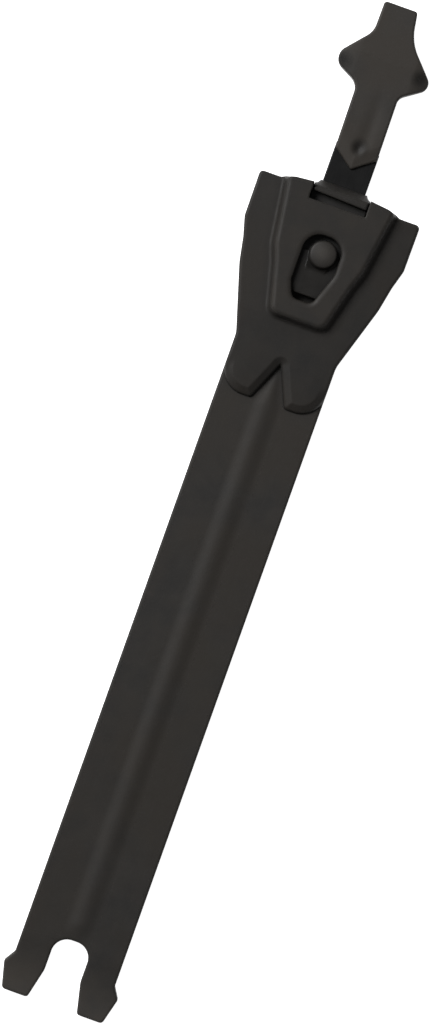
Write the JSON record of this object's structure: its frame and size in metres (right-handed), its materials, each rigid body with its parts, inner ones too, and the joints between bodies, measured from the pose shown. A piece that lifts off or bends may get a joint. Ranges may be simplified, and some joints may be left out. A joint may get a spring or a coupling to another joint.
{
  "type": "spudger",
  "caption": "Flat black pry tool with a forked end, and an arrow-tipped probe that slides from a flared head under a thumb button.",
  "frame": {"origin": "middle of the whole tool's footprint, on the flat back it lies on", "axes": "+Y along the tool towards the probe's tip, +Z out of the front face, +X across"},
  "size_m": [0.024, 0.15, 0.0055],
  "materials": {
    "bar": "satin moulded nylon",
    "shell": "satin moulded nylon",
    "guide": "smooth moulded acetal",
    "button": "fine textured nylon",
    "probe_steel": "blackened spring steel",
    "hardware": "dark oiled steel",
    "spring": "drawn spring wire"
  },
  "bodies": {
    "handle": {"pry_bar": "bar", "front_shell": "shell", "back_plate": "shell", "mouth_guide": "guide", "shell_screw_1": "hardware", "shell_screw_2": "hardware", "shell_screw_3": "hardware", "shell_screw_4": "hardware"},
    "probe": {"probe_core": "probe_steel", "probe_tip": "bar", "carriage": "guide", "carriage_rivet_1": "hardware", "carriage_rivet_2": "hardware", "button_spring": "spring"},
    "button": {"thumb_button": "button"}
  },
  "joints": [
    {"name": "probe_slide", "type": "slide", "parent": "handle", "child": "probe", "axis": [0, 1, 0], "range_m": [-0.0025, 0]},
    {"name": "button_press", "type": "slide", "parent": "probe", "child": "button", "axis": [0, 0, -1], "range_m": [0, 0.0006], "stiffness_N_per_m": 400, "springref_m": -0.001, "deforming": ["button_spring"]}
  ]
}
